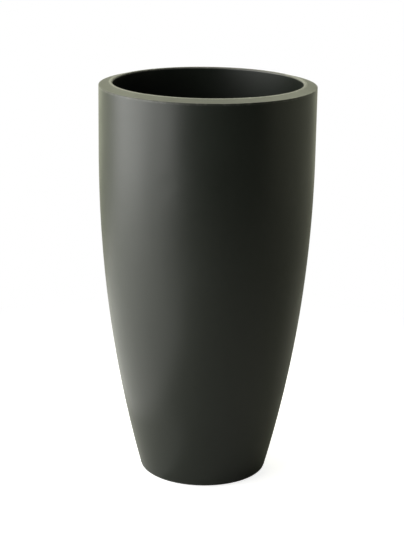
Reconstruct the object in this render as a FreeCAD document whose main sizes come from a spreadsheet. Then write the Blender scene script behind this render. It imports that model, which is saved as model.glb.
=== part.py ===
import FreeCAD, Part
import math
import os
import re
import Sketcher
from FreeCAD import Placement, Rotation, Vector

# Tall round planter: a moulded shell that curves in to a narrow foot, a rim collar bonded on
# top, a base pan with a drain plug, and a shelf inside that carries a lift-out liner.
# Origin: centre of the footprint on the floor, +Z up. All lengths in millimetres.

DRIVING_SIZES = {
    # overall form
    "planter_tall": 750,
    "planter_dia": 400,
    "foot_dia": 238,
    "curve_top": 617,
    # shell
    "wall": 5,
    "foot_flange": 40,
    "foot_round": 8,
    "foot_inner_round": 1.5,
    # rim collar
    "rim_wide": 25.5,
    "rim_fall": 6.6,
    "rim_round": 3.5,
    "rim_edge_round": 1,
    "collar_face": 4,
    "skirt_deep": 68,
    "skirt_wall": 4,
    "tongue_deep": 20,
    "tongue_wall": 3,
    "bond_gap": 0.3,
    # base pan and drain plug
    "pan_floor": 6,
    "pan_tall": 30,
    "pan_wall": 4,
    "drain_dia": 25,
    "plug_gap": 0.05,
    "plug_head_dia": 36,
    "plug_head_thick": 3,
    "plug_rise": 2,
    "plug_round": 1,
    # floor pads
    "pad_dia": 20,
    "pad_proud": 2,
    "pad_sunk": 1,
    "pad_side_gap": 0.3,
    "pad_round": 0.8,
    "pad_circle_dia": 190,
    # ledge bonded inside the shell
    "ledge_height": 340,
    "ledge_seat": 22,
    "ledge_thick": 6,
    "ledge_leg": 34,
    "ledge_leg_wall": 4,
    # lift-out shelf
    "mouth_gap": 2.5,
    "shelf_thick": 6,
    "shelf_round": 1.5,
    "shelf_hole_dia": 70,
    "shelf_drain_dia": 12,
    "shelf_drain_circle_dia": 220,
    "shelf_drain_count": 12,
    "rib_tall": 14,
    "rib_wall": 4,
    "rib_count": 6,
    "rib_end_gap": 4,
    # liner
    "liner_tall": 315,
    "liner_draw_in": 17,
    "liner_wall": 3,
    "liner_base_round": 6,
    "lip_gap": 3.5,
    "lip_wide": 19,
    "lip_down": 12,
    "lip_round": 1.2,
    "liner_drain_dia": 12,
    "liner_drain_circle_dia": 180,
    "liner_drain_count": 8,
    # liner handles and their ears
    "handle_inset": 13,
    "handle_half_angle": 48,
    "handle_bar_dia": 8,
    "handle_rest_gap": 0.3,
    "pin_dia": 5,
    "pin_gap": 0.05,
    "ear_side_gap": 0.6,
    "ear_wide": 10,
    "ear_thick": 6,
    "ear_over_pin": 5,
    "heel_tall": 6,
    "heel_wide": 5,
}

doc = FreeCAD.newDocument("tall_planter")
sizes = doc.addObject("Spreadsheet::Sheet", "sizes")
for row, (alias, value) in enumerate(DRIVING_SIZES.items(), start=1):
    sizes.set(f"A{row}", alias)
    sizes.set(f"B{row}", str(value))
    sizes.setAlias(f"B{row}", alias)
doc.recompute()


def named(word):
    """A driving size with its sheet's name, or any other word as it is."""
    return f"sizes.{word}" if word in DRIVING_SIZES else word


def sheet(formula):
    """Expression text in which each driving size is written with its sheet's name."""
    return re.sub(r"[a-z_]+", lambda word: named(word.group()), formula)


def number(formula):
    """Present value of a formula of driving sizes."""
    return float(sizes.evalExpression(sheet(formula)))


def bind(item, path, formula):
    """Ties a property or a constraint to the sheet."""
    item.setExpression(path, sheet(formula))


# Levels and radii that several pieces share.

OUTER_R = "(planter_dia / 2)"
MOUTH_R = f"({OUTER_R} - rim_wide)"
FOOT_R = "(foot_dia / 2)"
DRAW_IN = f"({OUTER_R} - {FOOT_R})"
CURVE_TALL = "(curve_top - pad_proud)"
SIDE_R = f"(({DRAW_IN} * {DRAW_IN} + {CURVE_TALL} * {CURVE_TALL}) / (2 * {DRAW_IN}))"
SIDE_CENTRE_X = f"({OUTER_R} - {SIDE_R})"
INNER_R = f"({OUTER_R} - wall)"
RIM_SLOPE = f"(rim_fall / ({OUTER_R} - {MOUTH_R}))"
RIM_ROUND_LOSS = f"(rim_round * ({RIM_SLOPE} + sqrt(1 + {RIM_SLOPE} * {RIM_SLOPE}) - 1))"
RIM_CORNER_Z = f"(planter_tall + {RIM_ROUND_LOSS})"
RIM_EDGE_Z = f"({RIM_CORNER_Z} - rim_fall)"
SEAM_Z = f"({RIM_EDGE_Z} - collar_face)"
FLANGE_TOP_Z = "(pad_proud + wall)"
SHELF_TOP_Z = "(ledge_height + shelf_thick)"
LINER_TOP_Z = f"({SHELF_TOP_Z} + liner_tall)"
SHELF_R = f"({MOUTH_R} - mouth_gap)"
LEDGE_IN_R = f"({SHELF_R} - ledge_seat)"
LIP_R = f"({MOUTH_R} - lip_gap)"
NECK_R = f"({LIP_R} - lip_wide)"
LINER_BASE_R = f"({NECK_R} - liner_draw_in)"
HANDLE_ARC_R = f"({LIP_R} - handle_inset)"
BAR_R = "(handle_bar_dia / 2)"
PIN_X = f"({HANDLE_ARC_R} * cos(handle_half_angle * 1 deg))"
BAR_END_Y = f"({HANDLE_ARC_R} * sin(handle_half_angle * 1 deg))"
PIN_Z = f"({LINER_TOP_Z} + {BAR_R} + handle_rest_gap)"
EAR_IN_Y = f"({BAR_END_Y} + {BAR_R} + ear_side_gap)"
PAD_SIDE_STEP = "(pad_circle_dia / 2 * sqrt(0.5))"

# Two edges this near to each other are taken as the same.
SAME_PLACE = 0.01

PAD_PLACES = {
    "front_left_pad": (-1, -1),
    "front_right_pad": (1, -1),
    "rear_left_pad": (-1, 1),
    "rear_right_pad": (1, 1),
}


# Helpers for bodies, sketches and features.

def new_body(label):
    """Empty body whose label names its file."""
    body = doc.addObject("PartDesign::Body", label)
    body.Label = label
    return body


def new_sketch(body, name, plane, height="0"):
    """Empty sketch on one of the body's own origin planes, lifted by a height."""
    support = next(item for item in body.Origin.OriginFeatures if item.Role == plane)
    sketch = body.newObject("Sketcher::SketchObject", name)
    sketch.AttachmentSupport = [(support, "")]
    sketch.MapMode = "FlatFace"
    if height != "0":
        bind(sketch, "AttachmentOffset.Base.z", height)
    return sketch


def pin_point(sketch, geometry, end, x_formula, y_formula):
    """Fixes one point of a sketch at sheet sizes; a formula of None leaves it free."""
    for kind, formula, axis in (("DistanceX", x_formula, -2), ("DistanceY", y_formula, -1)):
        if formula is None:
            continue
        if formula == "0":
            sketch.addConstraint(Sketcher.Constraint("PointOnObject", geometry, end, axis))
            continue
        value = number(formula)
        index = sketch.addConstraint(Sketcher.Constraint(kind, -1, 1, geometry, end, value))
        bind(sketch, f"Constraints[{index}]", formula)


def add_outline(sketch, corners, bends=None):
    """Closed outline through corners (x, y). bends maps an edge's number to the radius of an
    arc about the centre of the planter's side curve, which then sets any x left as None."""
    bends = bends or {}
    centre = Vector(number(SIDE_CENTRE_X), number("curve_top"), 0)
    points = []
    for index, (x_formula, y_formula) in enumerate(corners):
        y_value = number(y_formula)
        if x_formula is None:
            radius = number(bends[index] if index in bends else bends[index - 1])
            x_value = centre.x + math.sqrt(radius ** 2 - (y_value - centre.y) ** 2)
        else:
            x_value = number(x_formula)
        points.append(Vector(x_value, y_value, 0))
    count = len(points)
    first = sketch.GeometryCount
    forward = []
    for index, start in enumerate(points):
        stop = points[(index + 1) % count]
        if index in bends:
            angles = [math.atan2(p.y - centre.y, p.x - centre.x) for p in (start, stop)]
            circle = Part.Circle(centre, Vector(0, 0, 1), number(bends[index]))
            sketch.addGeometry(Part.ArcOfCircle(circle, min(angles), max(angles)), False)
            forward.append(angles[0] < angles[1])
        else:
            sketch.addGeometry(Part.LineSegment(start, stop), False)
            forward.append(True)
    for index in range(count):
        after = (index + 1) % count
        end = 2 if forward[index] else 1
        start = 1 if forward[after] else 2
        join = Sketcher.Constraint("Coincident", first + index, end, first + after, start)
        sketch.addConstraint(join)
    for index, radius in bends.items():
        pin_point(sketch, first + index, 3, SIDE_CENTRE_X, "curve_top")
        made = sketch.addConstraint(Sketcher.Constraint("Radius", first + index, number(radius)))
        bind(sketch, f"Constraints[{made}]", radius)
    for index, (x_formula, y_formula) in enumerate(corners):
        touches_bend = index in bends or (index - 1) % count in bends
        start = 1 if forward[index] else 2
        pin_point(sketch, first + index, start, None if touches_bend else x_formula, y_formula)


def add_circle(sketch, x_formula, y_formula, radius_formula):
    """Circle held by its centre and radius."""
    centre = Vector(number(x_formula), number(y_formula), 0)
    circle = Part.Circle(centre, Vector(0, 0, 1), number(radius_formula))
    index = sketch.addGeometry(circle, False)
    pin_point(sketch, index, 3, x_formula, y_formula)
    radius = Sketcher.Constraint("Radius", index, number(radius_formula))
    bind(sketch, f"Constraints[{sketch.addConstraint(radius)}]", radius_formula)


def revolve(body, sketch):
    """Full turn of a sketch about the body's upright axis."""
    turned = body.newObject("PartDesign::Revolution", sketch.Name + "_turned")
    turned.Profile = sketch
    turned.ReferenceAxis = (sketch, ["V_Axis"])
    turned.Angle = 360
    doc.recompute()
    return turned


def extrude(body, sketch, length_formula, downward=False):
    """Straight extrusion of a sketch."""
    grown = body.newObject("PartDesign::Pad", sketch.Name + "_pad")
    grown.Profile = sketch
    grown.Reversed = downward
    bind(grown, "Length", length_formula)
    doc.recompute()
    return grown


def pocket(body, sketch, length_formula=None):
    """Cut below a sketch, or through everything on both sides of it, and it must remove some."""
    before = body.Tip.Shape.Volume
    cut = body.newObject("PartDesign::Pocket", sketch.Name + "_cut")
    cut.Profile = sketch
    if length_formula is None:
        cut.Type = "ThroughAll"
        cut.Midplane = True
    else:
        bind(cut, "Length", length_formula)
    doc.recompute()
    if not cut.Shape.Volume < before:
        raise RuntimeError(f"{cut.Name} removes nothing")
    return cut


def repeat_round(body, feature, count_formula):
    """Evenly spaced copies of a feature about the upright axis."""
    axis = next(item for item in body.Origin.OriginFeatures if item.Role == "Z_Axis")
    pattern = body.newObject("PartDesign::PolarPattern", feature.Name + "_round")
    pattern.Originals = [feature]
    pattern.Axis = (axis, [""])
    pattern.Angle = 360
    bind(pattern, "Occurrences", count_formula)
    body.Tip = pattern
    doc.recompute()
    return pattern


def round_edges(body, radius_formula, rings):
    """Rounds the level circular edges at the given (radius, height) formulas."""
    base = body.Tip
    names = []
    for ring_radius, ring_height in rings:
        wanted_radius = number(ring_radius)
        wanted_height = number(ring_height)
        for index, edge in enumerate(base.Shape.Edges, start=1):
            curve = edge.Curve
            if not isinstance(curve, Part.Circle):
                continue
            level = abs(curve.Center.z - wanted_height) < SAME_PLACE
            if level and abs(curve.Radius - wanted_radius) < SAME_PLACE:
                names.append(f"Edge{index}")
    if len(names) != len(rings):
        raise RuntimeError(f"{body.Label}: {len(names)} of {len(rings)} edges found to round")
    rounded = body.newObject("PartDesign::Fillet", base.Name + "_rounded")
    rounded.Base = (base, names)
    bind(rounded, "Radius", radius_formula)
    doc.recompute()
    if not rounded.isValid():
        raise RuntimeError(f"{rounded.Name} rounds nothing")
    return rounded


# Shell: straight upper wall, one long arc below it, and a foot flange turned in underneath.

def make_shell():
    body = new_body("shell")
    sketch = new_sketch(body, "shell_section", "XZ_Plane")
    flange_in = f"({FOOT_R} - foot_flange)"
    add_outline(
        sketch,
        [
            (flange_in, "pad_proud"),
            (None, "pad_proud"),
            (None, "curve_top"),
            (OUTER_R, SEAM_Z),
            (INNER_R, SEAM_Z),
            (None, "curve_top"),
            (None, FLANGE_TOP_Z),
            (flange_in, FLANGE_TOP_Z),
        ],
        {1: SIDE_R, 5: f"({SIDE_R} - wall)"},
    )
    revolve(body, sketch)
    round_edges(body, "foot_round", [(FOOT_R, "pad_proud")])
    round_edges(body, "foot_inner_round", [(flange_in, "pad_proud")])
    socket_sketch = new_sketch(body, "pad_socket", "XY_Plane", "(pad_proud + pad_sunk)")
    add_circle(socket_sketch, PAD_SIDE_STEP, PAD_SIDE_STEP, "(pad_dia / 2 + pad_side_gap)")
    socket = pocket(body, socket_sketch, "(pad_sunk * 2)")
    repeat_round(body, socket, str(len(PAD_PLACES)))
    return body


# Rim collar: top face falls outwards, skirt hangs inside, tongue sits inside the shell's wall.

def make_rim_collar():
    body = new_body("rim_collar")
    sketch = new_sketch(body, "collar_section", "XZ_Plane")
    skirt_out = f"({MOUTH_R} + skirt_wall)"
    skirt_end = "(planter_tall - skirt_deep)"
    tongue_out = f"({INNER_R} - bond_gap)"
    tongue_in = f"({tongue_out} - tongue_wall)"
    tongue_end = f"({SEAM_Z} - tongue_deep)"
    add_outline(
        sketch,
        [
            (OUTER_R, RIM_EDGE_Z),
            (MOUTH_R, RIM_CORNER_Z),
            (MOUTH_R, skirt_end),
            (skirt_out, skirt_end),
            (skirt_out, SEAM_Z),
            (tongue_in, SEAM_Z),
            (tongue_in, tongue_end),
            (tongue_out, tongue_end),
            (tongue_out, SEAM_Z),
            (OUTER_R, SEAM_Z),
        ],
    )
    revolve(body, sketch)
    round_edges(body, "rim_round", [(MOUTH_R, RIM_CORNER_Z)])
    round_edges(body, "rim_edge_round", [(OUTER_R, RIM_EDGE_Z), (MOUTH_R, skirt_end)])
    return body


# Base pan: floor with the drain hole, and a turned-up edge bonded to the shell's wall.

def make_base_pan():
    body = new_body("base_pan")
    sketch = new_sketch(body, "pan_section", "XZ_Plane")
    pan_top = f"({FLANGE_TOP_Z} + pan_tall)"
    pan_floor_top = f"({FLANGE_TOP_Z} + pan_floor)"
    hole_r = "(drain_dia / 2)"
    outside = f"({SIDE_R} - wall - bond_gap)"
    add_outline(
        sketch,
        [
            (hole_r, FLANGE_TOP_Z),
            (None, FLANGE_TOP_Z),
            (None, pan_top),
            (None, pan_top),
            (None, pan_floor_top),
            (hole_r, pan_floor_top),
        ],
        {1: outside, 3: f"({outside} - pan_wall)"},
    )
    revolve(body, sketch)
    return body


# Drain plug: stem through the pan's hole and a flat head below it, pulled out downwards.

def make_drain_plug():
    body = new_body("drain_plug")
    sketch = new_sketch(body, "plug_section", "XZ_Plane")
    stem_r = "(drain_dia / 2 - plug_gap)"
    head_r = "(plug_head_dia / 2)"
    head_bottom = f"({FLANGE_TOP_Z} - plug_head_thick)"
    stem_top = f"({FLANGE_TOP_Z} + pan_floor + plug_rise)"
    add_outline(
        sketch,
        [
            ("0", head_bottom),
            (head_r, head_bottom),
            (head_r, FLANGE_TOP_Z),
            (stem_r, FLANGE_TOP_Z),
            (stem_r, stem_top),
            ("0", stem_top),
        ],
    )
    revolve(body, sketch)
    round_edges(body, "plug_round", [(head_r, head_bottom), (stem_r, stem_top)])
    return body


# Floor pads: four rubber discs in the flange's sockets, which the planter stands on.

def make_floor_pad(label, x_sign, y_sign):
    body = new_body(label)
    sketch = new_sketch(body, label + "_disc", "XY_Plane")
    add_circle(sketch, "0", "0", "(pad_dia / 2)")
    extrude(body, sketch, "(pad_proud + pad_sunk)")
    round_edges(body, "pad_round", [("(pad_dia / 2)", "0")])
    bind(body, "Placement.Base.x", f"{x_sign} * {PAD_SIDE_STEP}")
    bind(body, "Placement.Base.y", f"{y_sign} * {PAD_SIDE_STEP}")
    return body


# Ledge: ring bonded to the shell's inside, with a leg down the wall, which carries the shelf.

def make_ledge():
    body = new_body("ledge")
    sketch = new_sketch(body, "ledge_section", "XZ_Plane")
    underside = "(ledge_height - ledge_thick)"
    leg_end = "(ledge_height - ledge_leg)"
    outside = f"({SIDE_R} - wall - bond_gap)"
    add_outline(
        sketch,
        [
            (LEDGE_IN_R, underside),
            (None, underside),
            (None, leg_end),
            (None, leg_end),
            (None, "ledge_height"),
            (LEDGE_IN_R, "ledge_height"),
        ],
        {1: f"({outside} - ledge_leg_wall)", 3: outside},
    )
    revolve(body, sketch)
    return body


# Shelf: drained disc that lies on the ledge, stiffened by a hub and ribs underneath.

def make_shelf():
    body = new_body("shelf")
    hole_r = "(shelf_hole_dia / 2)"
    hub_r = f"({hole_r} + rib_wall)"
    rib_end = f"({LEDGE_IN_R} - rib_end_gap)"
    plate_sketch = new_sketch(body, "shelf_plate", "XY_Plane")
    add_circle(plate_sketch, "0", "0", SHELF_R)
    extrude(body, plate_sketch, "shelf_thick")
    rib_sketch = new_sketch(body, "shelf_rib", "XY_Plane")
    add_outline(
        rib_sketch,
        [
            (hole_r, "(0 - rib_wall / 2)"),
            (rib_end, "(0 - rib_wall / 2)"),
            (rib_end, "(rib_wall / 2)"),
            (hole_r, "(rib_wall / 2)"),
        ],
    )
    rib = extrude(body, rib_sketch, "rib_tall", downward=True)
    repeat_round(body, rib, "rib_count")
    hub_sketch = new_sketch(body, "shelf_hub", "XY_Plane")
    add_circle(hub_sketch, "0", "0", hub_r)
    extrude(body, hub_sketch, "rib_tall", downward=True)
    hole_sketch = new_sketch(body, "shelf_hole", "XY_Plane")
    add_circle(hole_sketch, "0", "0", hole_r)
    pocket(body, hole_sketch)
    drain_sketch = new_sketch(body, "shelf_drain", "XY_Plane", "shelf_thick")
    half_step = "180 deg / shelf_drain_count"
    circle_r = "(shelf_drain_circle_dia / 2)"
    add_circle(
        drain_sketch,
        f"({circle_r} * cos({half_step}))",
        f"({circle_r} * sin({half_step}))",
        "(shelf_drain_dia / 2)",
    )
    drain = pocket(body, drain_sketch, "shelf_thick")
    repeat_round(body, drain, "shelf_drain_count")
    round_edges(body, "shelf_round", [(SHELF_R, "shelf_thick"), (hole_r, "shelf_thick")])
    bind(body, "Placement.Base.z", "ledge_height")
    return body


# Liner: tapered pot with drain holes, a turned-down lip, and four ears for its handles.

def make_liner():
    body = new_body("liner")
    lip_under = f"({LINER_TOP_Z} - liner_wall)"
    lip_end = f"({LINER_TOP_Z} - lip_down)"
    lip_in = f"({LIP_R} - liner_wall)"
    floor_top = f"({SHELF_TOP_Z} + liner_wall)"
    sketch = new_sketch(body, "liner_section", "XZ_Plane")
    add_outline(
        sketch,
        [
            ("0", SHELF_TOP_Z),
            (LINER_BASE_R, SHELF_TOP_Z),
            (NECK_R, lip_under),
            (lip_in, lip_under),
            (lip_in, lip_end),
            (LIP_R, lip_end),
            (LIP_R, LINER_TOP_Z),
            (f"({NECK_R} - liner_wall)", LINER_TOP_Z),
            (f"({LINER_BASE_R} - liner_wall)", floor_top),
            ("0", floor_top),
        ],
    )
    revolve(body, sketch)
    round_edges(body, "liner_base_round", [(LINER_BASE_R, SHELF_TOP_Z)])
    inner_edges = [(LIP_R, LINER_TOP_Z), (f"({NECK_R} - liner_wall)", LINER_TOP_Z)]
    round_edges(body, "lip_round", inner_edges)
    drain_sketch = new_sketch(body, "liner_drain", "XY_Plane", floor_top)
    add_circle(drain_sketch, "(liner_drain_circle_dia / 2)", "0", "(liner_drain_dia / 2)")
    drain = pocket(body, drain_sketch, "(liner_wall * 2)")
    repeat_round(body, drain, "liner_drain_count")
    ear_sketch = new_sketch(body, "liner_ears", "XY_Plane", LINER_TOP_Z)
    for x_sign in (-1, 1):
        for y_sign in (-1, 1):
            add_outline(
                ear_sketch,
                [
                    (f"({x_sign} * ({PIN_X} - ear_wide / 2))", f"({y_sign} * {EAR_IN_Y})"),
                    (f"({x_sign} * ({PIN_X} + ear_wide / 2))", f"({y_sign} * {EAR_IN_Y})"),
                    (
                        f"({x_sign} * ({PIN_X} + ear_wide / 2))",
                        f"({y_sign} * ({EAR_IN_Y} + ear_thick))",
                    ),
                    (
                        f"({x_sign} * ({PIN_X} - ear_wide / 2))",
                        f"({y_sign} * ({EAR_IN_Y} + ear_thick))",
                    ),
                ],
            )
    extrude(body, ear_sketch, f"({BAR_R} + handle_rest_gap + ear_over_pin)")
    hole_sketch = new_sketch(body, "ear_holes", "XZ_Plane")
    for x_sign in (-1, 1):
        add_circle(hole_sketch, f"({x_sign} * {PIN_X})", PIN_Z, "(pin_dia / 2 + pin_gap)")
    pocket(body, hole_sketch)
    return body


# Handles: arched bars that lie on the liner's lip and swing up on pins in its ears. A heel
# beside each pin meets the lip when the bar stands upright.

def make_handle(label, turn):
    pieces = []
    bar = doc.addObject("Part::Torus", label + "_bar")
    bind(bar, "Radius1", HANDLE_ARC_R)
    bind(bar, "Radius2", BAR_R)
    bind(bar, "Angle3", "handle_half_angle * 2")
    bar.Placement = Placement(Vector(), Rotation(Vector(0, 0, 1), -number("handle_half_angle")))
    bind(bar, "Placement.Base.z", PIN_Z)
    pieces.append(bar)
    for side, y_sign in (("front", -1), ("back", 1)):
        knuckle = doc.addObject("Part::Sphere", f"{label}_{side}_knuckle")
        bind(knuckle, "Radius", BAR_R)
        bind(knuckle, "Placement.Base.x", PIN_X)
        bind(knuckle, "Placement.Base.y", f"{y_sign} * {BAR_END_Y}")
        bind(knuckle, "Placement.Base.z", PIN_Z)
        pin = doc.addObject("Part::Cylinder", f"{label}_{side}_pin")
        pin.Placement = Placement(Vector(), Rotation(Vector(1, 0, 0), -90 * y_sign))
        bind(pin, "Radius", "pin_dia / 2")
        bind(pin, "Height", f"{EAR_IN_Y} + ear_thick - {BAR_END_Y}")
        bind(pin, "Placement.Base.x", PIN_X)
        bind(pin, "Placement.Base.y", f"{y_sign} * {BAR_END_Y}")
        bind(pin, "Placement.Base.z", PIN_Z)
        heel = doc.addObject("Part::Box", f"{label}_{side}_heel")
        bind(heel, "Length", BAR_R)
        bind(heel, "Width", "heel_wide")
        bind(heel, "Height", "heel_tall")
        bind(heel, "Placement.Base.x", f"{PIN_X} - {BAR_R}")
        bind(heel, "Placement.Base.y", f"{y_sign} * {BAR_END_Y} - heel_wide / 2")
        bind(heel, "Placement.Base.z", PIN_Z)
        pieces += [knuckle, pin, heel]
    handle = doc.addObject("Part::MultiFuse", label)
    handle.Label = label
    handle.Shapes = pieces
    handle.Placement = Placement(Vector(), Rotation(Vector(0, 0, 1), turn))
    return handle


# Assembly.

sub_parts = [make_shell(), make_rim_collar(), make_base_pan(), make_drain_plug()]
for pad_label, (x_side, y_side) in PAD_PLACES.items():
    sub_parts.append(make_floor_pad(pad_label, x_side, y_side))
sub_parts += [make_ledge(), make_shelf(), make_liner()]
sub_parts += [make_handle("left_handle", 180), make_handle("right_handle", 0)]
doc.recompute()

for item in doc.Objects:
    if "Invalid" in item.State or "Error" in item.State:
        raise RuntimeError(f"{item.Name} failed: {item.State}")
for part in sub_parts:
    if part.Shape.isNull() or not part.Shape.isValid() or len(part.Shape.Solids) != 1:
        raise RuntimeError(f"{part.Label} is not one valid solid")

os.makedirs("parts", exist_ok=True)
for part in sub_parts:
    part.Shape.exportStep(f"parts/{part.Label}.step")
    box = part.Shape.BoundBox
    print(f"{part.Label:18s} {part.Shape.Volume / 1000:9.1f} cm3  z {box.ZMin:7.2f} to {box.ZMax:7.2f}")
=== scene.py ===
import math

import bmesh
import bpy
from mathutils import Matrix, Vector


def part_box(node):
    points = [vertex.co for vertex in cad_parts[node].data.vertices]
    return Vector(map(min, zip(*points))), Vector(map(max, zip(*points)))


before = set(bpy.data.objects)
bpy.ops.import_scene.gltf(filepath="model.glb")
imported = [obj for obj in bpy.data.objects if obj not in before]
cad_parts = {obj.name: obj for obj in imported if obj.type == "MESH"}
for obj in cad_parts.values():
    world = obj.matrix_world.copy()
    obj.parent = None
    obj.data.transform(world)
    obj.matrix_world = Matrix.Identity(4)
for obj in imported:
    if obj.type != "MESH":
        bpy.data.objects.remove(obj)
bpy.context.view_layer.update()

# ---------------------------------------------------------------------------------------
# Camera. A long lens stands 3 m away and looks down a little, as in the photograph, whose
# frame is 404 by 540 pixels. The picture there leans by under a degree, and so does this.

FRAME_TALL_PX = 540
FRAME_CENTRE_PX = Vector((202, 270))
AXIS_MIDDLE_PX = Vector((205.15, 280.6))
FOCAL_PX = 1586
CAMERA_AWAY = 3.0
CAMERA_RISE = math.radians(16.43)
CAMERA_LEAN = math.radians(0.85)
SENSOR_TALL_MM = 36
AXIS_MIDDLE = Vector((0, 0, 0.3713))

camera_data = bpy.data.cameras.new("photo_camera")
camera_data.sensor_fit = "VERTICAL"
camera_data.sensor_height = SENSOR_TALL_MM
camera_data.lens = FOCAL_PX / FRAME_TALL_PX * SENSOR_TALL_MM
camera = bpy.data.objects.new("photo_camera", camera_data)
bpy.context.scene.collection.objects.link(camera)
bpy.context.scene.camera = camera

to_object = Vector((0, math.cos(CAMERA_RISE), -math.sin(CAMERA_RISE)))
camera_place = AXIS_MIDDLE - CAMERA_AWAY * to_object
right = Matrix.Rotation(-CAMERA_LEAN, 3, to_object) @ Vector((1, 0, 0))
up = right.cross(to_object)
metres_per_px = CAMERA_AWAY / FOCAL_PX
off_centre = (AXIS_MIDDLE_PX - FRAME_CENTRE_PX) * metres_per_px
aim = AXIS_MIDDLE - right * off_centre.x + up * off_centre.y
forward = (aim - camera_place).normalized()
right = (right - forward * right.dot(forward)).normalized()
up = right.cross(forward)
camera_turn = Matrix((right, up, -forward)).transposed()
camera.matrix_world = Matrix.Translation(camera_place) @ camera_turn.to_4x4()

# ---------------------------------------------------------------------------------------
# Floor and backdrop. A pale floor disc catches the planter's soft shadow; to the camera it
# fades into the white world, and its light on the object stays that of a grey floor.

FLOOR_RADIUS = 6.0
FLOOR_SIDES = 96
FLOOR_COLOUR = (0.72, 0.72, 0.69, 1)    # under the shadow that the camera sees
FLOOR_GREY = (0.56, 0.56, 0.52, 1)      # in the light that the floor throws back
SHADOW_SHARE = 0.16     # of the floor's look near the planter; the rest is white
SHADOW_NEAR = 0.35      # metres from the axis where the shadow starts to fade
SHADOW_GONE = 1.1       # and where it is gone
BACKDROP_WHITE = (1, 1, 1, 1)
ROOM_STRENGTH = 0.02

mesh = bmesh.new()
bmesh.ops.create_circle(mesh, cap_ends=True, segments=FLOOR_SIDES, radius=FLOOR_RADIUS)
floor_mesh = bpy.data.meshes.new("floor")
mesh.to_mesh(floor_mesh)
mesh.free()
floor = bpy.data.objects.new("floor", floor_mesh)
bpy.context.scene.collection.objects.link(floor)


def add_node(tree, kind, **settings):
    """New shader node with its settings, and values for its inputs by name."""
    made = tree.nodes.new(kind)
    inputs = settings.pop("inputs", {})
    for name, value in settings.items():
        setattr(made, name, value)
    for name, value in inputs.items():
        made.inputs[name].default_value = value
    return made


def empty_material(name):
    """Material with a bare output node; returns its tree and that node."""
    material = bpy.data.materials.new(name)
    material.use_nodes = True
    tree = material.node_tree
    tree.nodes.clear()
    return material, tree, add_node(tree, "ShaderNodeOutputMaterial")


floor_material, tree, out = empty_material("pale_floor")
seen = add_node(tree, "ShaderNodeLightPath")
white = add_node(tree, "ShaderNodeEmission", inputs={"Strength": 1.0})
nearly_white = add_node(tree, "ShaderNodeEmission", inputs={"Strength": 1 - SHADOW_SHARE})
shaded = add_node(tree, "ShaderNodeBsdfDiffuse", inputs={"Color": FLOOR_COLOUR})
with_shadow = add_node(tree, "ShaderNodeAddShader")
place = add_node(tree, "ShaderNodeTexCoord")
away = add_node(tree, "ShaderNodeVectorMath", operation="LENGTH")
far = add_node(
    tree,
    "ShaderNodeMapRange",
    interpolation_type="SMOOTHSTEP",
    inputs={"From Min": SHADOW_NEAR, "From Max": SHADOW_GONE},
)
for_camera = add_node(tree, "ShaderNodeMixShader")
for_light = add_node(tree, "ShaderNodeBsdfDiffuse", inputs={"Color": FLOOR_GREY})
choice = add_node(tree, "ShaderNodeMixShader")
tree.links.new(place.outputs["Object"], away.inputs[0])
tree.links.new(away.outputs["Value"], far.inputs["Value"])
tree.links.new(nearly_white.outputs[0], with_shadow.inputs[0])
tree.links.new(shaded.outputs[0], with_shadow.inputs[1])
tree.links.new(far.outputs["Result"], for_camera.inputs[0])
tree.links.new(with_shadow.outputs[0], for_camera.inputs[1])
tree.links.new(white.outputs[0], for_camera.inputs[2])
tree.links.new(seen.outputs["Is Camera Ray"], choice.inputs[0])
tree.links.new(for_light.outputs[0], choice.inputs[1])
tree.links.new(for_camera.outputs[0], choice.inputs[2])
tree.links.new(choice.outputs[0], out.inputs["Surface"])
floor_mesh.materials.append(floor_material)

world = bpy.data.worlds.new("studio")
world.use_nodes = True
bpy.context.scene.world = world
tree = world.node_tree
tree.nodes.clear()
out = add_node(tree, "ShaderNodeOutputWorld")
seen = add_node(tree, "ShaderNodeLightPath")
backdrop = add_node(tree, "ShaderNodeBackground", inputs={"Color": BACKDROP_WHITE})
room = add_node(
    tree,
    "ShaderNodeBackground",
    inputs={"Color": BACKDROP_WHITE, "Strength": ROOM_STRENGTH},
)
choice = add_node(tree, "ShaderNodeMixShader")
tree.links.new(seen.outputs["Is Camera Ray"], choice.inputs[0])
tree.links.new(room.outputs[0], choice.inputs[1])
tree.links.new(backdrop.outputs[0], choice.inputs[2])
tree.links.new(choice.outputs[0], out.inputs["Surface"])
bpy.context.scene.view_settings.view_transform = "Standard"

# ---------------------------------------------------------------------------------------
# Studio lights. A tall softbox on the left does most of the work, with a dimmer one beside it
# and dim cream walls and sheets at the sides and behind, which show in the sloping rim. A sheet
# overhead lights the inside, and a card and a sheet on the floor brighten the narrow foot.

SOFTBOX_WHITE = (1.0, 1.0, 0.97)
WALL_CREAM = (0.975, 1.0, 0.75)
PANELS = {
    # name: (degrees round from the front, towards the right; metres from the axis; metres up to
    # the middle; metres wide; metres tall; brightness; colour)
    "left_softbox": (-84, 2.2, 1.05, 1.95, 2.1, 5.6, SOFTBOX_WHITE),
    "left_front_fill": (-46, 2.2, 1.05, 1.20, 2.1, 3.5, SOFTBOX_WHITE),
    "left_wall": (-132, 2.2, 1.05, 1.95, 2.1, 1.0, WALL_CREAM),
    "right_wall": (108, 2.2, 0.62, 4.20, 1.3, 0.39, WALL_CREAM),
    "back_panel": (180, 1.7, 2.10, 2.00, 1.1, 2.3, WALL_CREAM),
    "back_sheet": (180, 2.2, 1.40, 3.20, 1.0, 0.72, WALL_CREAM),
    "lit_sheet": (180, 2.2, 0.45, 3.00, 0.9, 0.8, WALL_CREAM),
    "ceiling_sheet": (0, 0.0, 2.70, 1.50, 1.5, 0.85, SOFTBOX_WHITE),
    "floor_card": (-110, 0.57, 0.001, 0.90, 0.9, 0.24, SOFTBOX_WHITE),
    "floor_sheet": (-92, 1.60, 0.001, 2.60, 1.9, 0.84, SOFTBOX_WHITE),
}
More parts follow.
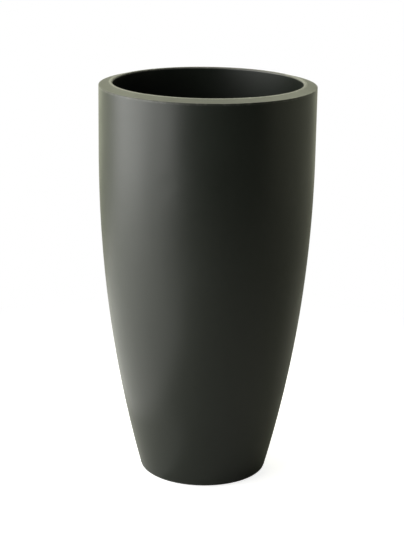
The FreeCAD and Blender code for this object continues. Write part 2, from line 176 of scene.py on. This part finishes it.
LIES_FLAT = ("floor_card", "floor_sheet")
PANELS_FACE = Vector((0, 0, 0.42))

for name, (degrees, away, height, wide, tall, brightness, colour) in PANELS.items():
    lamp = bpy.data.lights.new(name, "AREA")
    lamp.shape = "RECTANGLE"
    lamp.size = wide
    lamp.size_y = tall
    lamp.energy = brightness * math.pi * wide * tall
    lamp.color = colour
    panel = bpy.data.objects.new(name, lamp)
    bpy.context.scene.collection.objects.link(panel)
    angle = math.radians(degrees)
    place = Vector((away * math.sin(angle), -away * math.cos(angle), height))
    shines = Vector((0, 0, 1)) if name in LIES_FLAT else PANELS_FACE - place
    turn = shines.to_track_quat("-Z", "Y").to_matrix().to_4x4()
    panel.matrix_world = Matrix.Translation(place) @ turn
    panel.visible_camera = False

# ---------------------------------------------------------------------------------------
# Shell. Glass-fibre laminate laid up in a split mould, sanded and sprayed satin charcoal:
# a faint orange peel, slow clouds in the sheen, and paint rubbed thin round the foot.

PAINT_COLOUR = (0.0087, 0.0113, 0.0084, 1)
PAINT_CLOUDED = (0.01044, 0.01356, 0.01008, 1)
WORN_COLOUR = (0.060, 0.061, 0.054, 1)
DUST_COLOUR = (0.21, 0.20, 0.175, 1)
PAINT_IOR = 1.5
PAINT_ROUGHNESS = (0.34, 0.39)      # from one cloud to the next
PEEL_DEPTH = 0.00009
DUST_ROUGHENS = 0.3
SHELL_DUST = 0.2
FOOT_WEAR_RADIUS = 0.117
FOOT_WEAR_REACH = 0.007
# lumps of noise per metre
PEEL_LUMPS = 420.0
CLOUD_LUMPS = 5.0
WEAR_BREAKS = 90.0
DUST_PATCHES = 24.0
DUST_SPECKS = 900.0
PATCH_SHARE = 0.7


def new_group(name, inputs, outputs):
    """Shader node group with named sockets; returns the group, its input and output nodes."""
    group = bpy.data.node_groups.new(name, "ShaderNodeTree")
    for socket, value in inputs.items():
        made = group.interface.new_socket(socket, in_out="INPUT", socket_type="NodeSocketFloat")
        made.default_value = value
    for socket in outputs:
        group.interface.new_socket(socket, in_out="OUTPUT", socket_type="NodeSocketFloat")
    return group, add_node(group, "NodeGroupInput"), add_node(group, "NodeGroupOutput")


def place_group(tree, group, **values):
    """A group placed in a material, with its own values."""
    placed = add_node(tree, "ShaderNodeGroup")
    placed.node_tree = group
    for socket, value in values.items():
        placed.inputs[socket].default_value = value
    return placed


def feed(tree, entry, value):
    """Links a socket to an input, or sets the input to a number or colour."""
    if isinstance(value, bpy.types.NodeSocket):
        tree.links.new(value, entry)
    else:
        entry.default_value = value


def calculate(tree, operation, first, second=0.0, clamp=False):
    """Maths node on two sockets or numbers; returns its output."""
    made = add_node(tree, "ShaderNodeMath", operation=operation, use_clamp=clamp)
    feed(tree, made.inputs[0], first)
    feed(tree, made.inputs[1], second)
    return made.outputs[0]


def object_noise(tree, scale, detail=2.0, roughness=0.5):
    """Noise over Object coordinates; scale is a number or a socket, in lumps per metre."""
    place = add_node(tree, "ShaderNodeTexCoord")
    noise = add_node(
        tree, "ShaderNodeTexNoise", inputs={"Detail": detail, "Roughness": roughness}
    )
    tree.links.new(place.outputs["Object"], noise.inputs["Vector"])
    feed(tree, noise.inputs["Scale"], scale)
    return noise.outputs["Fac"]


def fade(tree, value, low, high, first=0.0, last=1.0):
    """Smooth change from first to last as a value socket goes from low to high."""
    made = add_node(
        tree,
        "ShaderNodeMapRange",
        interpolation_type="SMOOTHSTEP",
        inputs={"From Min": low, "From Max": high, "To Min": first, "To Max": last},
    )
    tree.links.new(value, made.inputs["Value"])
    return made.outputs["Result"]


# Sprayed film: small even waves for bump, and slow clouds for colour and roughness.
sprayed_film, given, result = new_group(
    "sprayed_film", {"Peel Scale": PEEL_LUMPS, "Cloud Scale": CLOUD_LUMPS}, ["Peel", "Cloud"]
)
peel = object_noise(sprayed_film, given.outputs["Peel Scale"], detail=1.5, roughness=0.4)
cloud = object_noise(sprayed_film, given.outputs["Cloud Scale"], detail=3.0, roughness=0.55)
sprayed_film.links.new(peel, result.inputs["Peel"])
sprayed_film.links.new(fade(sprayed_film, cloud, 0.3, 0.7), result.inputs["Cloud"])

# Ring wear and painted highlight: strongest at a level ring of given radius and height. Noise
# breaks it up, down to the evenness, a share of the mark that stays all round. It paints wear
# round the foot and the rim's outer edge, and a painted highlight round the mouth.
ring_wear_and_highlight, given, result = new_group(
    "ring_wear_and_highlight", {"Radius": 0.2, "Height": 0.0, "Reach": 0.004, "Evenness": 0.0}, ["Mask"]
)
place = add_node(ring_wear_and_highlight, "ShaderNodeTexCoord")
parts = add_node(ring_wear_and_highlight, "ShaderNodeSeparateXYZ")
ring_wear_and_highlight.links.new(place.outputs["Object"], parts.inputs[0])
x_squared = calculate(ring_wear_and_highlight, "POWER", parts.outputs["X"], 2.0)
y_squared = calculate(ring_wear_and_highlight, "POWER", parts.outputs["Y"], 2.0)
from_axis = calculate(ring_wear_and_highlight, "SQRT", calculate(ring_wear_and_highlight, "ADD", x_squared, y_squared))
outwards = calculate(ring_wear_and_highlight, "SUBTRACT", from_axis, given.outputs["Radius"])
upwards = calculate(ring_wear_and_highlight, "SUBTRACT", parts.outputs["Z"], given.outputs["Height"])
outwards = calculate(ring_wear_and_highlight, "POWER", calculate(ring_wear_and_highlight, "ABSOLUTE", outwards), 2.0)
upwards = calculate(ring_wear_and_highlight, "POWER", calculate(ring_wear_and_highlight, "ABSOLUTE", upwards), 2.0)
distance = calculate(ring_wear_and_highlight, "SQRT", calculate(ring_wear_and_highlight, "ADD", outwards, upwards))
share_of_reach = calculate(ring_wear_and_highlight, "DIVIDE", distance, given.outputs["Reach"])
near = fade(ring_wear_and_highlight, share_of_reach, 0.3, 1.0, 1.0, 0.0)
breaks = fade(ring_wear_and_highlight, object_noise(ring_wear_and_highlight, WEAR_BREAKS, detail=4.0), 0.38, 0.68)
breaks = calculate(ring_wear_and_highlight, "MAXIMUM", breaks, given.outputs["Evenness"])
ring_mask = calculate(ring_wear_and_highlight, "MULTIPLY", near, breaks, clamp=True)
ring_wear_and_highlight.links.new(ring_mask, result.inputs["Mask"])

# Settled dust: on faces that look up, in soft patches and fine specks.
settled_dust, given, result = new_group("settled_dust", {"Amount": 0.3}, ["Mask"])
face = add_node(settled_dust, "ShaderNodeNewGeometry")
face_direction = add_node(settled_dust, "ShaderNodeSeparateXYZ")
settled_dust.links.new(face.outputs["Normal"], face_direction.inputs[0])
level = fade(settled_dust, face_direction.outputs["Z"], 0.55, 0.98)
patches = fade(settled_dust, object_noise(settled_dust, DUST_PATCHES, detail=5.0), 0.35, 0.75)
specks = fade(settled_dust, object_noise(settled_dust, DUST_SPECKS, detail=1.0), 0.66, 0.74)
dust = calculate(settled_dust, "MULTIPLY", patches, PATCH_SHARE)
dust = calculate(settled_dust, "ADD", dust, specks)
dust = calculate(settled_dust, "MULTIPLY", dust, level)
dust = calculate(settled_dust, "MULTIPLY", dust, given.outputs["Amount"], clamp=True)
settled_dust.links.new(dust, result.inputs["Mask"])


def mix_colour(tree, share, first, second):
    """Blend of two colours, each a socket or a colour, by a share socket or number."""
    made = add_node(tree, "ShaderNodeMix", data_type="RGBA")
    # the node has a set of sockets for each kind of value, with the same names
    share_in, first_in, second_in, colour_out = 0, 6, 7, 2
    for index, value in ((share_in, share), (first_in, first), (second_in, second)):
        feed(tree, made.inputs[index], value)
    return made.outputs[colour_out]


def bump(tree, height, depth):
    """Bump of a height pattern that stands proud by depth, in metres."""
    made = add_node(tree, "ShaderNodeBump", inputs={"Strength": 1.0, "Distance": depth})
    tree.links.new(height, made.inputs["Height"])
    return made.outputs["Normal"]


def satin_paint(name, wear_and_highlight_rings, dust_amount):
    """Sprayed satin charcoal, with worn rings and painted highlight rings of (radius, height,
    reach, evenness, colour).
    """
    material, tree, out = empty_material(name)
    surface = add_node(tree, "ShaderNodeBsdfPrincipled", inputs={"IOR": PAINT_IOR})
    film = place_group(tree, sprayed_film)
    colour = mix_colour(tree, film.outputs["Cloud"], PAINT_COLOUR, PAINT_CLOUDED)
    for radius, height, reach, evenness, ring_colour in wear_and_highlight_rings:
        ring = place_group(
            tree, ring_wear_and_highlight, Radius=radius, Height=height, Reach=reach, Evenness=evenness
        )
        colour = mix_colour(tree, ring.outputs["Mask"], colour, ring_colour)
    dusty = place_group(tree, settled_dust, Amount=dust_amount)
    colour = mix_colour(tree, dusty.outputs["Mask"], colour, DUST_COLOUR)
    tree.links.new(colour, surface.inputs["Base Color"])
    film_roughness = fade(tree, film.outputs["Cloud"], 0.0, 1.0, *PAINT_ROUGHNESS)
    dust_roughness = calculate(tree, "MULTIPLY", dusty.outputs["Mask"], DUST_ROUGHENS)
    roughness = calculate(tree, "ADD", film_roughness, dust_roughness)
    tree.links.new(roughness, surface.inputs["Roughness"])
    tree.links.new(bump(tree, film.outputs["Peel"], PEEL_DEPTH), surface.inputs["Normal"])
    tree.links.new(surface.outputs[0], out.inputs["Surface"])
    return material


def dress(node, material):
    """Gives a CAD node its material in every slot."""
    piece = bpy.data.objects[node]
    if not piece.material_slots:
        piece.data.materials.append(material)
    for slot in piece.material_slots:
        slot.material = material


shell_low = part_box("shell")[0]
foot_ring = (FOOT_WEAR_RADIUS, shell_low[2], FOOT_WEAR_REACH, 0.0, WORN_COLOUR)
dress("shell", satin_paint("shell_paint", [foot_ring], SHELL_DUST))

# ---------------------------------------------------------------------------------------
# Rim collar. Glass-fibre laminate moulded on its own, its tongue bonded inside the shell's top,
# and sprayed with the shell. Its top falls outwards; the paint is worn thin along its outer
# edge, and a painted highlight runs round the mouth's edge.

RIM_FALL = 0.0065
MOUTH_RADIUS = 0.1745
# painted highlight: a pale ring along the mouth's rounded edge stands in for the light on it
MOUTH_HIGHLIGHT_COLOUR = (0.29, 0.29, 0.255, 1)
RIM_DUST = 0.22
OUTER_EDGE_IN = 0.001       # the middle of the worn ring, in from the rim's side
MOUTH_EDGE_OUT = 0.003      # and of the painted highlight ring, out from the mouth
MOUTH_EDGE_DOWN = 0.0003
# reach of the wear and of the painted highlight in metres, and their evenness
OUTER_EDGE_WEAR = (0.004, 0.35)
MOUTH_HIGHLIGHT_SPREAD = (0.0052, 0.7)

rim_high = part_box("rim_collar")[1]
outer_place = (rim_high[0] - OUTER_EDGE_IN, rim_high[2] - RIM_FALL)
mouth_place = (MOUTH_RADIUS + MOUTH_EDGE_OUT, rim_high[2] - MOUTH_EDGE_DOWN)
outer_edge = (*outer_place, *OUTER_EDGE_WEAR, WORN_COLOUR)
# the mouth ring is a painted highlight on the mouth's edge, not wear
mouth_highlight = (*mouth_place, *MOUTH_HIGHLIGHT_SPREAD, MOUTH_HIGHLIGHT_COLOUR)
dress("rim_collar", satin_paint("collar_paint", [outer_edge, mouth_highlight], RIM_DUST))

# ---------------------------------------------------------------------------------------
# Base pan and ledge. Bare laminate, bonded to the shell's inside: dark resin in which the
# chopped glass strands show as a pale random weave, with a rough, half-glossy face.

RESIN_COLOUR = (0.022, 0.022, 0.020, 1)
STRAND_COLOUR = (0.085, 0.082, 0.070, 1)
STRAND_TURNS = (0.2, 0.9, 1.5, 2.2, 2.9)
STRAND_STRETCH = (1.0, 0.07, 0.3)
STRAND_LUMPS = 40.0
STRAND_SHOWS = 0.55
STRAND_DEPTH = 0.0003
RESIN_IOR = 1.52
RESIN_ROUGHNESS = (0.38, 0.6)       # between the strands, and on them
LAMINATE_DUST = 0.5

chopped_strand, given, result = new_group("chopped_strand", {"Scale": STRAND_LUMPS}, ["Strands"])
place = add_node(chopped_strand, "ShaderNodeTexCoord")
strands = None
for turn in STRAND_TURNS:
    turned = add_node(chopped_strand, "ShaderNodeMapping", vector_type="TEXTURE")
    turned.inputs["Rotation"].default_value = (0.4 * turn, 0.3 * turn, turn)
    turned.inputs["Scale"].default_value = STRAND_STRETCH
    noise = add_node(chopped_strand, "ShaderNodeTexNoise", inputs={"Detail": 1.0})
    chopped_strand.links.new(place.outputs["Object"], turned.inputs["Vector"])
    chopped_strand.links.new(turned.outputs[0], noise.inputs["Vector"])
    chopped_strand.links.new(given.outputs["Scale"], noise.inputs["Scale"])
    layer = fade(chopped_strand, noise.outputs["Fac"], 0.60, 0.68)
    strands = layer if strands is None else calculate(chopped_strand, "MAXIMUM", strands, layer)
chopped_strand.links.new(strands, result.inputs["Strands"])

laminate, tree, out = empty_material("bare_laminate")
surface = add_node(tree, "ShaderNodeBsdfPrincipled", inputs={"IOR": RESIN_IOR})
strand_mat = place_group(tree, chopped_strand).outputs["Strands"]
share = calculate(tree, "MULTIPLY", strand_mat, STRAND_SHOWS)
colour = mix_colour(tree, share, RESIN_COLOUR, STRAND_COLOUR)
dusty = place_group(tree, settled_dust, Amount=LAMINATE_DUST)
colour = mix_colour(tree, dusty.outputs["Mask"], colour, DUST_COLOUR)
roughness = fade(tree, strand_mat, 0.0, 1.0, *RESIN_ROUGHNESS)
tree.links.new(colour, surface.inputs["Base Color"])
tree.links.new(roughness, surface.inputs["Roughness"])
tree.links.new(bump(tree, strand_mat, STRAND_DEPTH), surface.inputs["Normal"])
tree.links.new(surface.outputs[0], out.inputs["Surface"])
for node in ("base_pan", "ledge"):
    dress(node, laminate)

# ---------------------------------------------------------------------------------------
# Drain plug and floor pads. Moulded rubber, matt and slightly bloomed; the plug fills the
# pan's drain hole from below, and the four pads are glued into sockets in the foot flange.

RUBBER_COLOUR = (0.018, 0.018, 0.018, 1)
BLOOM_COLOUR = (0.055, 0.055, 0.053, 1)
BLOOM_PATCHES = 60.0
BLOOM_MOST = 0.6
RUBBER_IOR = 1.45
RUBBER_ROUGHNESS = (0.62, 0.8)      # clean, and where it has bloomed most
MOULD_GRAIN = 1400.0
MOULD_GRAIN_DEPTH = 0.00006
PADS = ("front_left_pad", "front_right_pad", "rear_left_pad", "rear_right_pad")

rubber, tree, out = empty_material("moulded_rubber")
surface = add_node(tree, "ShaderNodeBsdfPrincipled", inputs={"IOR": RUBBER_IOR})
bloom = fade(tree, object_noise(tree, BLOOM_PATCHES, detail=4.0), 0.42, 0.72, 0.0, BLOOM_MOST)
colour = mix_colour(tree, bloom, RUBBER_COLOUR, BLOOM_COLOUR)
roughness = fade(tree, bloom, 0.0, BLOOM_MOST, *RUBBER_ROUGHNESS)
grain = object_noise(tree, MOULD_GRAIN)
tree.links.new(colour, surface.inputs["Base Color"])
tree.links.new(roughness, surface.inputs["Roughness"])
tree.links.new(bump(tree, grain, MOULD_GRAIN_DEPTH), surface.inputs["Normal"])
tree.links.new(surface.outputs[0], out.inputs["Surface"])
for node in ("drain_plug",) + PADS:
    dress(node, rubber)

# ---------------------------------------------------------------------------------------
# Shelf, liner and handles. Injection-moulded black plastic: a fine spark-eroded grain on the
# shelf and the liner, which lift out, and a smoother face on the handles, which fingers polish.

PLASTIC_COLOUR = (0.020, 0.020, 0.021, 1)
SCUFF_COLOUR = (0.060, 0.060, 0.060, 1)
SCUFF_PATCHES = 30.0
SCUFF_MOST = 0.5
SCUFF_ROUGHENS = 0.15
PLASTIC_IOR = 1.49
PLASTIC_DUST = 0.25
# grains per metre, their depth in metres, and the roughness of the clean face
SHELF_GRAIN = (900.0, 0.00010, 0.5)
LINER_GRAIN = (1100.0, 0.00008, 0.46)
HANDLE_GRAIN = (1500.0, 0.00003, 0.34)


def moulded_plastic(name, grain_scale, grain_depth, clean_roughness):
    """Black moulded plastic with an eroded grain, light scuffs and dust."""
    material, tree, out = empty_material(name)
    surface = add_node(tree, "ShaderNodeBsdfPrincipled", inputs={"IOR": PLASTIC_IOR})
    rubs = object_noise(tree, SCUFF_PATCHES, detail=6.0, roughness=0.7)
    scuffs = fade(tree, rubs, 0.55, 0.8, 0.0, SCUFF_MOST)
    dusty = place_group(tree, settled_dust, Amount=PLASTIC_DUST)
    colour = mix_colour(tree, scuffs, PLASTIC_COLOUR, SCUFF_COLOUR)
    colour = mix_colour(tree, dusty.outputs["Mask"], colour, DUST_COLOUR)
    tree.links.new(colour, surface.inputs["Base Color"])
    scuffed_roughness = clean_roughness + SCUFF_ROUGHENS
    roughness = fade(tree, scuffs, 0.0, SCUFF_MOST, clean_roughness, scuffed_roughness)
    tree.links.new(roughness, surface.inputs["Roughness"])
    grain = object_noise(tree, grain_scale, detail=1.0)
    tree.links.new(bump(tree, grain, grain_depth), surface.inputs["Normal"])
    tree.links.new(surface.outputs[0], out.inputs["Surface"])
    return material


dress("shelf", moulded_plastic("shelf_grain", *SHELF_GRAIN))
dress("liner", moulded_plastic("liner_grain", *LINER_GRAIN))
handle_plastic = moulded_plastic("handle_face", *HANDLE_GRAIN)
for node in ("left_handle", "right_handle"):
    dress(node, handle_plastic)
